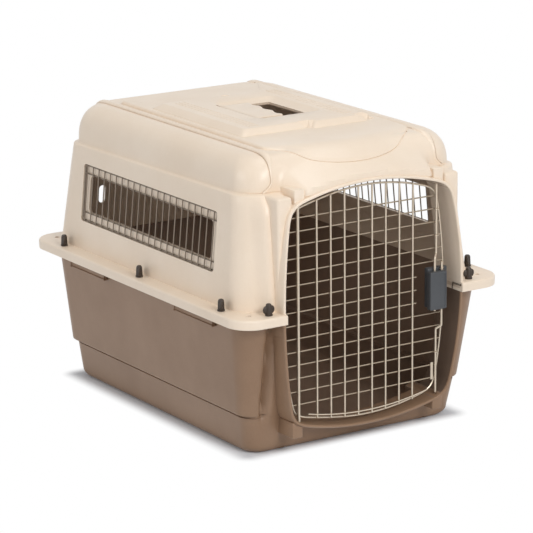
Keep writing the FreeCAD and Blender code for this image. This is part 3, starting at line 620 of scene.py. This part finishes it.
def dished(name, left, right, front, rear, depth, slope):
    """Shallow sunken place with sloping sides."""
    rings, radius = [], 9.0
    for inset, drop in ((-1.5, -2.0), (0.0, 0.0), (1.5, 0.7), (slope - 1.5, depth - 0.7),
                        (slope + 1.0, depth)):
        ring = plan_ring((right - left) / 2 - inset, front - inset, rear - inset, radius,
                         roof_top - drop, 30, 30)
        ring[:, 0] += (left + right) / 2
        rings.append(ring)
    return stack(name, rings)


def dent(middle):
    """V-shaped dent in the front slope of the platform, beside the pad."""
    return stack(f"platform_dent_{middle:.0f}",
                 [plan_ring(half, front, rear, 1.5, level, 16, 16) + np.array([middle, 0, 0])
                  for half, front, rear, level in ((3.0, 175, -139, roof_top - platform_height + 0.2),
                                                   (12.5, 175, -128, roof_top + 1.5))])


basin = dished("handle_basin", -50, 72, 78, 74, 7.0, 13.0)
upper = combine(upper, "DIFFERENCE", [basin, dent(-3.0), dent(116.0)])
upper = combine(upper, "UNION", lugs)
well = block("handle_well", (well_left, well_front, roof_top - 30),
             (well_right, well_rear, roof_top + 20), 4.0, 2)
dimple_x, dimple_y = 2.7, 118
dimple = stack("dimple", [circle(dimple_x, dimple_y, radius, roof_top + rise)
                          for radius, rise in ((4.0, -1.3), (6.5, -0.6), (7.5, 0.5))])
vent_side, vent_half, vent_low, vent_high = 134, 6.5, 297, 329
vents = [block(f"vent_{side}", (side * vent_side - vent_half, 250, vent_low),
               (side * vent_side + vent_half, far, vent_high), 6.4, 1, 6) for side in (-1, 1)]
holes = tie_holes("upper") + rod_bores("upper_bore", "upper_latch_rod", 380, 438)
upper = combine(upper, "DIFFERENCE", holes + [doorway_core("doorway"), well, dimple] + vents)


def bead(name, path, normals, section, widths=None):
    """Narrow line of one section along a path over a surface."""
    path, normals = np.asarray(path, float), np.asarray(normals, float)
    run = np.gradient(path, axis=0)
    across = np.cross(run, normals)
    across /= np.linalg.norm(across, axis=1, keepdims=True)
    rings = [np.array([p + a * s * w + n * h * (w if h > 0 else 1) for s, h in section])
             for p, a, n, w in zip(path, across, normals, widths or [1.0] * len(path))]
    return stack(name, rings)


# crown rails: a rounded rail along each side of the crown and down its two ends, with a groove
# outside it
rail_half, rail_hook, rail_steps, rail_stations = 161.0, 15.0, 36, 40
rail_section = [(0.9, -2.4), (1.1, 0.2), (1.8, 1.4), (3.6, 2.5), (6.6, 3.0), (9.6, 2.5), (12.4, 1.3),
                (15.0, -0.2), (16.0, -2.4)]
groove_section = [(-1.2, 1.4), (-0.8, -1.7), (0.9, -1.7), (1.2, 1.4)]


def rail_path(side):
    """Points, surface normals and widths along one rail, from its front foot to its rear foot."""
    ends = []
    for end in (-1, 1):
        stretch = []
        for step in range(rail_steps + 1):
            swing = math.pi / 2 * step / rail_steps
            half, front, rear, level = crown_at(swing)
            hook = rail_hook * max(0.0, 1 - (level - ledge_level - ledge_rise) / 20.0) ** 2
            dx = rail_half + hook - (half - corner)
            if dx > corner - 0.4:
                break
            reach = (front if end < 0 else rear) - corner
            dy = math.sqrt(corner ** 2 - dx ** 2)
            flat, steep = crown_rise * math.cos(swing), pull_in * math.sin(swing)
            size = math.hypot(flat, steep)
            normal = (side * dx / corner * flat / size, end * dy / corner * flat / size, steep / size)
            width = 0.3 + 0.7 * float(smooth(level, crown_top - 26, crown_top - 1))
            stretch.append(((side * (rail_half + hook), end * (reach + dy), level), normal, width))
        ends.append(stretch)
    start, finish = np.array(ends[0][-1][0]), np.array(ends[1][-1][0])
    between = [(start + (finish - start) * i / rail_stations, (side * 0.12, 0.0, 0.993), 1.0)
               for i in range(1, rail_stations)]
    stations = ends[0] + between + ends[1][::-1]
    return tilted([s[0] for s in stations]), [s[1] for s in stations], [s[2] for s in stations]


beads, grooves = [], []
for side in (-1, 1):
    path, normals, widths = rail_path(side)
    beads.append(bead(f"crown_rail_{side}", path, normals, [(-s * side, h) for s, h in rail_section], widths))
    grooves.append(bead(f"crown_groove_{side}", path, normals, groove_section))
surface = BVHTree.FromObject(upper, bpy.context.evaluated_depsgraph_get())
lobe_path, lobe_normals = [], []
for x in np.linspace(-lobe_half - 6, lobe_half + 6, 70):
    y = -(lobe_front - lobe_radius + math.sqrt(lobe_radius ** 2 - x ** 2)) - 0.3
    hit = surface.ray_cast(Vector((x, y, 600)) * mm, Vector((0, 0, -1)))[0]
    lobe_path.append(tuple(hit / mm))
    lobe_normals.append((0, -0.5, 0.866))
lobe_section = [(-1.1, 1.6), (-0.7, -1.5), (0.7, -1.5), (1.1, 1.6)]
grooves.append(bead("lobe_groove", lobe_path, lobe_normals, lobe_section))
upper = combine(upper, "DIFFERENCE", grooves)

# three low grip ribs on each side of the platform
rib_section, rib_end = [(-1.6, -0.5), (-0.9, 0.4), (0, 0.8), (0.9, 0.4), (1.6, -0.5)], 26
for side in (-1, 1):
    for x in (84.0, 92.0, 100.0):
        path = [(side * x, y, roof_top)
                for y in np.linspace(rib_end - platform_front, platform_rear - rib_end, 20)]
        beads.append(bead(f"platform_rib_{side}_{x}", path, [(0, 0, 1)] * len(path), rib_section))


def finish_mesh(piece, materials, extra=(), angle=34.0):
    """Joins loose closed solids to a piece, shades it and gives it its materials."""
    work = bmesh.new()
    work.from_mesh(piece.data)
    for other in extra:
        work.from_mesh(other.data)
        bpy.data.objects.remove(other)
    mesh = bpy.data.meshes.new(piece.name)
    work.to_mesh(mesh)
    work.free()
    piece.data = mesh
    mesh.materials.clear()
    for material in materials:
        mesh.materials.append(material)
    mesh.polygons.foreach_set("material_index", [0] * len(mesh.polygons))
    mesh.shade_smooth()
    mesh.set_sharp_from_angle(angle=math.radians(angle))
    return piece


def paint(code):
    """Linear colour of a hex code."""
    channels = [int(code[i:i + 2], 16) / 255 for i in (0, 2, 4)]
    return (*[c / 12.92 if c < 0.04045 else ((c + 0.055) / 1.055) ** 2.4 for c in channels], 1)


def moulded(name, colour, shade, rough, grain):
    """Moulded plastic: faint clouding, a fine etched grain and a slightly uneven sheen."""
    f = Finish(bpy.data.materials.new(name))
    place = f.add("TexCoord", output="Object")
    cloud = f.add("TexNoise", {"Vector": place, "Scale": 7.0, "Detail": 4.0, "Roughness": 0.6})
    fine = f.add("TexNoise", {"Vector": place, "Scale": 420.0, "Detail": 3.0, "Roughness": 0.7})
    patches = f.add("ValToRGB", {0: cloud * 0.75 + fine * 0.25}, stops=((0.36, 0.0), (0.66, 1.0)))
    tint = f.blend(patches, paint(colour), paint(shade))
    grit = f.add("TexNoise", {"Vector": place, "Scale": 1300.0, "Detail": 2.0})
    relief = f.add("Bump", {"Height": grit * 0.7 + fine * 0.3, "Strength": grain, "Distance": 0.0004})
    return f.done(f.add("BsdfPrincipled", {"Base Color": tint, "Roughness": cloud * 0.12 + (rough - 0.06),
                                           "Normal": relief, "Specular IOR Level": 0.42}))


cream = moulded("cream_plastic", "F3E2CE", "EDDAC4", 0.34, 0.14)
# painted shade: a darker copy of the cream for the cabin's faces, standing in for the shade inside the
# carrier
cream_painted_shade = moulded("cream_plastic_painted_shade", "DCC7B1", "D2BCA5", 0.55, 0.14)


def darken_inside(piece, levels):
    """Gives the faces on the cabin's side the piece's second material, which on the cream shell is a darker
    copy that paints the shade inside the cabin.
    """
    skin, cabin_middle = 1.6, 240
    bounds = np.array([(level, half, front, rear) for half, front, rear, _, level in levels])
    for face in piece.data.polygons:
        x, y, z = face.center / mm
        half, front, rear = (np.interp(z, bounds[:, 0], bounds[:, k]) for k in (1, 2, 3))
        inside = abs(x) < half - skin and -front + skin < y < rear - skin
        inwards = face.normal.x * x + face.normal.y * y + face.normal.z * (z - cabin_middle) < 0
        if inside and inwards:
            face.material_index = 1


upper = finish_mesh(upper, [cream, cream_painted_shade], beads)
# the cream shell's cabin faces get its painted shade
darken_inside(upper, cover_levels)
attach(upper, "root")
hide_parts("upper_shell")

# ---------------------------------------------------------------- lower shell
# The taupe half is a deep tub moulded to match: a rounded foot, a step along its sides, a sill
# under the doorway and a narrower flange that the bolts clamp under the upper one.
base_half, base_front, base_rear, base_corner = cover_half - 28, 271.0, 292.0, 27.0
rim_half, rim_front, rim_rear = 236.5, 313.0, 318.0
step_level, step_half = 69.0, 210.0
foot_round, foot_steps = 16.0, 6
step_front, step_rear, step_corner = 11, 4, 4
tub_levels = []
for turn in range(foot_steps + 1):
    angle = math.pi / 2 * turn / foot_steps
    inset = foot_round * (1 - math.sin(angle))
    tub_levels.append((base_half - inset, base_front - inset, base_rear - inset, base_corner,
                       foot_round * (1 - math.cos(angle))))
for t in (0.25, 0.5, 0.75, 0.9):
    tub_levels.append((base_half + (step_half - base_half) * t, base_front + step_front * t,
                       base_rear + step_rear * t, base_corner + step_corner * t,
                       foot_round + (step_level - foot_round) * t))
for out, rise in ((-3.4, -4.6), (-3.4, 0.0), (3.0, 0.1), (5.6, 0.3), (6.4, 1.2), (6.7, 3.2)):
    tub_levels.append((step_half + out, base_front + step_front + rise * 0.2, base_rear + step_rear + out,
                       base_corner + step_corner, step_level + rise))
step_top = tub_levels[-1]
for t in np.linspace(0, 1, 11)[1:]:
    half, front, rear, radius = (a + (b - a) * t
                                 for a, b in zip(step_top, (rim_half, rim_front, rim_rear, corner)))
    tub_levels.append((half, front, rear, radius, step_top[4] + (plate_under - step_top[4]) * t))

groove_side, groove_width, groove_deep = 183.0, 6.0, 15.0


def grooved(points):
    """Presses a groove into the front wall on each side, between the corner column and the collar."""
    x, y, z = points.T
    near = np.exp(-((abs(x) - groove_side) / groove_width) ** 2)
    near = near * smooth(z, 40, 90) * (1 - smooth(z, plate_under - 6, plate_under - 2))
    moved = points.copy()
    moved[:, 1] += groove_deep * near * (y < 0)
    return moved


lower = stack("lower_shell_moulding", [grooved(plan_ring(*level)) for level in tub_levels])
tub_plate = plate_under - plate_thick
rings = [flange_ring(inset, level) for inset, level in ((4.4, tub_plate), (4.2, plate_under - 2.8),
                                                        (4.2, plate_under - 0.4), (4.6, plate_under - 0.05))]
rings += [plan_ring(rim_half - 2, rim_front - 2, rim_rear - 2, corner - 2, level)
          for level in (plate_under - 0.05, tub_plate)]
lower = combine(lower, "UNION", [stack("tub_flange", rings, looped=True)])
tub_inner = [(half - wall, front - wall, rear - wall, radius - wall, level + (wall if level < 20 else 0))
             for half, front, rear, radius, level in tub_levels]
tub_inner[-1] = (*tub_inner[-1][:4], plate_under + 20)
tub_hollow = stack("tub_hollow", [grooved(plan_ring(*level)) for level in tub_inner])
lower = combine(lower, "DIFFERENCE", [tub_hollow])
pad_half, pad_low, pad_high = 239.5, 215, 240
under_pads = []
for side in (-1, 1):
    for start, end in ((-223, -106), (122, 236)):
        pad_block = block("side_pad", (0, start, pad_low), (side * pad_half, end, pad_high), 2.0)
        pad_hollow = stack("pad_hollow", [plan_ring(*level, 52, 80) for level in tub_inner])
        under_pads.append(combine(pad_block, "DIFFERENCE", [pad_hollow]))
lower = combine(lower, "UNION", under_pads + [collar_half("lower_collar", 0, collar_split)]
                + sockets("lower_socket", 141, 33, 60))
notch_side, notch_half = 140, 7
notches = [block(f"foot_notch_{side}", (side * notch_side - notch_half, -far, -5),
                 (side * notch_side + notch_half, -base_front + 9, 5), 1.5) for side in (-1, 1)]
lower = combine(lower, "DIFFERENCE", [doorway_core("lower_doorway")] + notches + tie_holes("lower")
                + rod_bores("lower_bore", "lower_latch_rod", 34.5, 90))
taupe = moulded("taupe_plastic", "997B62", "8C6F57", 0.42, 0.24)
taupe_inside = moulded("taupe_plastic_inside", "957D6B", "87705F", 0.6, 0.24)
taupe_painted_neck_shade = moulded("taupe_plastic_painted_neck_shade", "6B584A", "5F4E41", 0.62, 0.24)
lower = finish_mesh(lower, [taupe, taupe_inside, taupe_painted_neck_shade])
darken_inside(lower, tub_levels)
# painted shade: the inner sides of the lower collar's neck get a dark copy of the taupe, standing in for the
# deep shade there
neck_near, neck_far = 140, 172
for face in lower.data.polygons:
    x, y, z = face.center / mm
    in_neck_shade = neck_near < abs(x) < neck_far and 4 - lip_at(z) < y < shoulder_back
    if in_neck_shade and face.normal.x * x < -0.6 * abs(x):
        face.material_index = 2
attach(lower, "root")
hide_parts("lower_shell")

# ---------------------------------------------------------------- door, grilles and rods
# Welded mesh of plated steel wire hangs on a plain rod at its left, and two sprung rods latch it
# at its right. The mesh runs on past the hinge rod, behind the lip of the collar, into a frame
# wire that is bent to the doorway's arch. A grille of thinner wire snaps into each window.


def plated(name, colour, rough):
    """Plated steel wire with a slightly uneven, warm grey sheen."""
    f = Finish(bpy.data.materials.new(name))
    place = f.add("TexCoord", output="Object")
    streak = f.add("TexNoise", {"Vector": place, "Scale": 60.0, "Detail": 4.0})
    spot = f.add("TexNoise", {"Vector": place, "Scale": 900.0, "Detail": 2.0})
    tint = f.blend(streak, paint(colour), tuple(0.8 * c for c in paint(colour)[:3]) + (1,))
    relief = f.add("Bump", {"Height": spot, "Strength": 0.12, "Distance": 0.0002})
    return f.done(f.add("BsdfPrincipled", {"Base Color": tint, "Metallic": 0.85,
                                           "Roughness": streak * 0.2 + rough, "Normal": relief}))


door_wire = plated("warm_plated_wire", "D9CBB8", 0.28)
grille_wire = plated("grey_plated_wire", "8A7D70", 0.3)
for name in ("door_upright_wires", "door_cross_wires", "door_frame_wire", "door_sill_wire", "hinge_rod",
             "upper_latch_rod", "lower_latch_rod", "rod_guides", "rod_guard_strip", "upper_rod_collar",
             "lower_rod_collar", "upper_latch_spring", "lower_latch_spring", "handle_pins"):
    frame["nodes"][name].data.materials.clear()
    frame["nodes"][name].data.materials.append(door_wire)
for side in ("left", "right"):
    for part in ("frame", "rails", "bars"):
        node = frame["nodes"][f"{side}_grille_{part}"]
        node.data.materials.clear()
        node.data.materials.append(grille_wire)


def wire(name, points, radius, closed=False):
    """Round wire along a line of points."""
    points = np.asarray(points, float)
    run = np.roll(points, -1, 0) - np.roll(points, 1, 0) if closed else np.gradient(points, axis=0)
    run /= np.linalg.norm(run, axis=1, keepdims=True)
    across = np.cross(run, (0, 1, 0))
    across /= np.linalg.norm(across, axis=1, keepdims=True)
    lift = np.cross(across, run)
    turns = np.linspace(0, 2 * math.pi, 10, endpoint=False)
    return stack(name, [p + radius * (np.outer(np.cos(turns), a) + np.outer(np.sin(turns), l))
                        for p, a, l in zip(points, across, lift)], looped=closed)


# frame wire: clear of the arch at the latch side, and behind its lip at the hinge side
frame_low, frame_high = (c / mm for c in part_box("door_frame_wire"))
hinge_gap, frame_radius = 9, 1.6
outline = arch_ring(0, 0)
share = smooth(-outline[:, 0], 60, 130)[:, None]
frame_tall, arch_tall = frame_high.z - frame_low.z, door_top - door_foot
latch_path = np.column_stack([outline[:, 0] * frame_high.x / outline[:, 0].max(), outline[:, 1],
                              frame_low.z + (outline[:, 2] - door_foot) * frame_tall / arch_tall])
path = latch_path * (1 - share) + arch_ring(-hinge_gap, 0) * share
path[:, 1] = (frame_low.y + frame_high.y) / 2
door_frame = wire("door_frame_outline", path[::2], frame_radius, closed=True)
finish_mesh(door_frame, [door_wire])
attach(door_frame, "door")
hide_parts("door_frame_wire")

# cross wires: the ones beside the latch housing stop short of it
cross_low, cross_high = (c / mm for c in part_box("door_cross_wires"))
housing_low, housing_high = (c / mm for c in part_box("latch_housing_back"))
cross_radius, cross_pitch, beside_housing, latch_gap = 1.15, 22, 98.0, 12.0
strands = []
for count in range(15):
    z = cross_high.z - cross_radius - cross_pitch * count
    left = hinge_gap - side_at(z)
    reach = beside_housing if housing_low.z < z < housing_high.z else -left - latch_gap
    strands.append(wire(f"cross_wire_{count}", [(x, cross_low.y + cross_radius, z) for x in (left, 0, reach)],
                        cross_radius))
# painted shade: the cross wires get a darker copy of the door's plated wire, standing in for the shade they
# lie in behind the uprights
crosses = finish_mesh(strands[0], [plated("cross_wire_painted_shade", "B5A692", 0.34)], strands[1:])
crosses.name = "door_cross_strands"
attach(crosses, "door")
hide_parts("door_cross_wires")

# ---------------------------------------------------------------- latch housing
# Two moulded dark grey halves clip together over the rods and springs, and the back one grips the
# wire at the door's edge. The front is plain, with a shallow border.
housing_grey = moulded("latch_plastic", "505255", "46484B", 0.48, 0.22)
border, border_deep, housing_top_drop, housing_foot_drop = 4, 0.7, 8.0, 2.0
for node, edge_round in (("latch_housing_front", 2.4), ("latch_housing_back", 1.6)):
    low, high = (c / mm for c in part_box(node))
    high.z -= housing_top_drop
    low.z -= housing_foot_drop
    half = block(node + "_shell", low, high, edge_round)
    if node == "latch_housing_front":
        panel = block("housing_panel", (low.x + border, low.y - 5, low.z + border),
                      (high.x - border, low.y + border_deep, high.z - border), 2.0, 1)
        half = combine(half, "DIFFERENCE", [panel])
    finish_mesh(half, [housing_grey])
    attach(half, frame["nodes"][node]["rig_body"])
    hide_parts(node)

# ---------------------------------------------------------------- carrying handle
# A moulded cream flap lies flush over its well and turns up on two pins. Its free edge is turned
# down and waved for the fingers, and its other edge is a barrel round the pins.
handle_low, handle_high = (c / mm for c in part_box("carrying_handle"))
barrel, pivot_x, pivot_level = 4.2, -44.0, roof_top - 7
wave_high, wave_count, end_round, end_drop = 2.6, 3, 6.0, 0.9
rings = []
for y in np.linspace(handle_low.y, handle_high.y, 61):
    t = (y - handle_low.y) / (handle_high.y - handle_low.y)
    edge = handle_high.x + 3.5 + 5.5 * t + wave_high * math.cos(t * wave_count * 2 * math.pi)
    ease = min(1.0, min(t, 1 - t) / 0.05)
    edge -= end_round * (1 - ease) ** 2
    top = handle_high.z - end_drop * (1 - ease) ** 2
    section = [(pivot_x + barrel * math.cos(a), pivot_level - barrel * math.sin(a))
               for a in np.linspace(0.9, math.pi * 1.25, 12)]
    section += [(pivot_x - 7.2, top - 2.2), (pivot_x - 6.6, top - 0.8), (pivot_x - 5.0, top - 0.1),
                (pivot_x + 1.5, top), (edge - 4.5, top), (edge - 1.6, top - 0.7), (edge - 0.3, top - 2.4),
                (edge, top - 5), (edge - 0.4, top - 11), (edge - 1.6, top - 12), (edge - 2.8, top - 11),
                (edge - 3.0, top - 5), (edge - 4.4, top - 3.2), (pivot_x + 6.5, top - 3.2)]
    rings.append(np.array([(x, y, z) for x, z in section]))
handle = stack("handle_flap", rings)
finish_mesh(handle, [cream], angle=42)
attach(handle, "handle")
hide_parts("carrying_handle")

# ---------------------------------------------------------------- wing nuts and bolts
# Eight dark brown moulded nylon bolts come up through both flanges, each with a tall fluted wing
# nut that is turned by hand to clamp the shells together.
nut_brown = moulded("nut_plastic", "3E332B", "352B24", 0.46, 0.3)
post_section = ((0.1, 5.9), (1.0, 6.2), (2.4, 6.2), (3.0, 5.3), (15.8, 5.0), (18.2, 4.3), (19.5, 2.9),
                (20.0, 0.9))
flute_count, flute_deep, flute_low, flute_high = 12, 0.05, 2.6, 15
wing_section = ((-2.3, 0.55), (-1.7, 0.85), (-0.8, 1.0), (0.8, 1.0), (1.7, 0.85), (2.3, 0.55))
wing_out, wing_half, wing_level, wing_tall = 5.6, 4.9, 9.6, 6.4
side_bolt, front_bolt, front_bolt_y = 243.0, 196.0, -320.0
bolt_places = [(side * side_bolt, y) for side in (-1, 1) for y in (-254.0, 0.0, 254.0)]
bolt_places += [(side * front_bolt, front_bolt_y) for side in (-1, 1)]
for number, (x, y) in enumerate(bolt_places):
    rings = []
    wing_run = Vector((1, 0, 0)) if y == front_bolt_y else Vector((0.54, 0.84, 0)).normalized()
    wing_flat = wing_run.cross(Vector((0, 0, 1)))
    for level, size in post_section:
        angles = np.linspace(0, 2 * math.pi, 48, endpoint=False)
        flute = 1 + flute_deep * np.cos(angles * flute_count) * (1 if flute_low < level < flute_high else 0)
        rings.append(np.column_stack([x + size * flute * np.cos(angles), y + size * flute * np.sin(angles),
                                      np.full(48, flange_top + level)]))
    nut = stack(f"wing_nut_{number}", rings)
    for wing in (-1, 1):
        lobe_rings = []
        for depth, thick in wing_section:
            turn = np.linspace(0, 2 * math.pi, 28, endpoint=False)
            along = wing * (wing_out + wing_half * thick * np.cos(turn))
            lobe_rings.append(np.column_stack([x + along * wing_run.x + depth * wing_flat.x,
                                               y + along * wing_run.y + depth * wing_flat.y,
                                               flange_top + wing_level + wing_tall * thick * np.sin(turn)]))
        nut = combine(nut, "UNION", [stack("wing", lobe_rings)])
    finish_mesh(nut, [nut_brown])
    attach(nut, "root")
    if number == 0:
        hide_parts("wing_nuts")
frame["nodes"]["shell_bolts"].data.materials.clear()
frame["nodes"]["shell_bolts"].data.materials.append(nut_brown)
